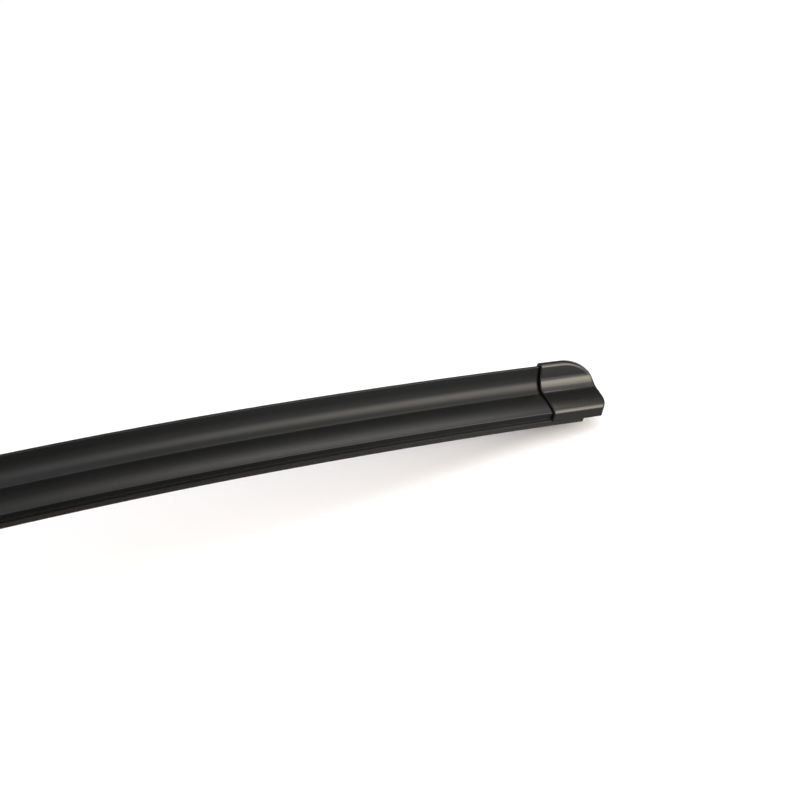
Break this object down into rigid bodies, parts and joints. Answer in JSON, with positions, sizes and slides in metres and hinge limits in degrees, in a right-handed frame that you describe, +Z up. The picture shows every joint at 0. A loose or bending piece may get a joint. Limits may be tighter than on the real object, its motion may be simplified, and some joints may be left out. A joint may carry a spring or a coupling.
{
  "type": "wiper blade",
  "caption": "Flat beam wiper blade with a finned spoiler, round end caps, a bowed rubber on spring rails and a pivoting adapter for a hook arm.",
  "frame": {"origin": "middle of the pivot pin that the wiper arm's hook holds", "axes": "+X along the blade, +Y to the rear of the blade where the fin stands, +Z up and away from the glass"},
  "size_m": [0.601, 0.017, 0.062],
  "materials": {
    "wiping_rubber": "matt black rubber",
    "spring_steel": "black coated spring steel",
    "spoiler_rubber": "satin black extruded rubber",
    "cap_plastic": "satin black moulded plastic",
    "bracket_steel": "black coated pressed steel",
    "housing_plastic": "satin black moulded plastic",
    "pin_steel": "turned steel",
    "adapter_plastic": "satin black moulded plastic"
  },
  "bodies": {
    "blade": {"wiper_rubber": "wiping_rubber", "spring_rail_front": "spring_steel", "spring_rail_rear": "spring_steel", "spoiler_left": "spoiler_rubber", "spoiler_right": "spoiler_rubber", "end_cap_left": "cap_plastic", "end_cap_right": "cap_plastic", "connector_bracket": "bracket_steel", "connector_housing": "housing_plastic", "pivot_pin": "pin_steel"},
    "adapter": {"hook_adapter": "adapter_plastic"}
  },
  "joints": [
    {"name": "adapter_pivot", "type": "hinge", "parent": "blade", "child": "adapter", "pos_m": [0, 0, 0], "axis": [0, 1, 0], "range_deg": [-12, 45]}
  ]
}
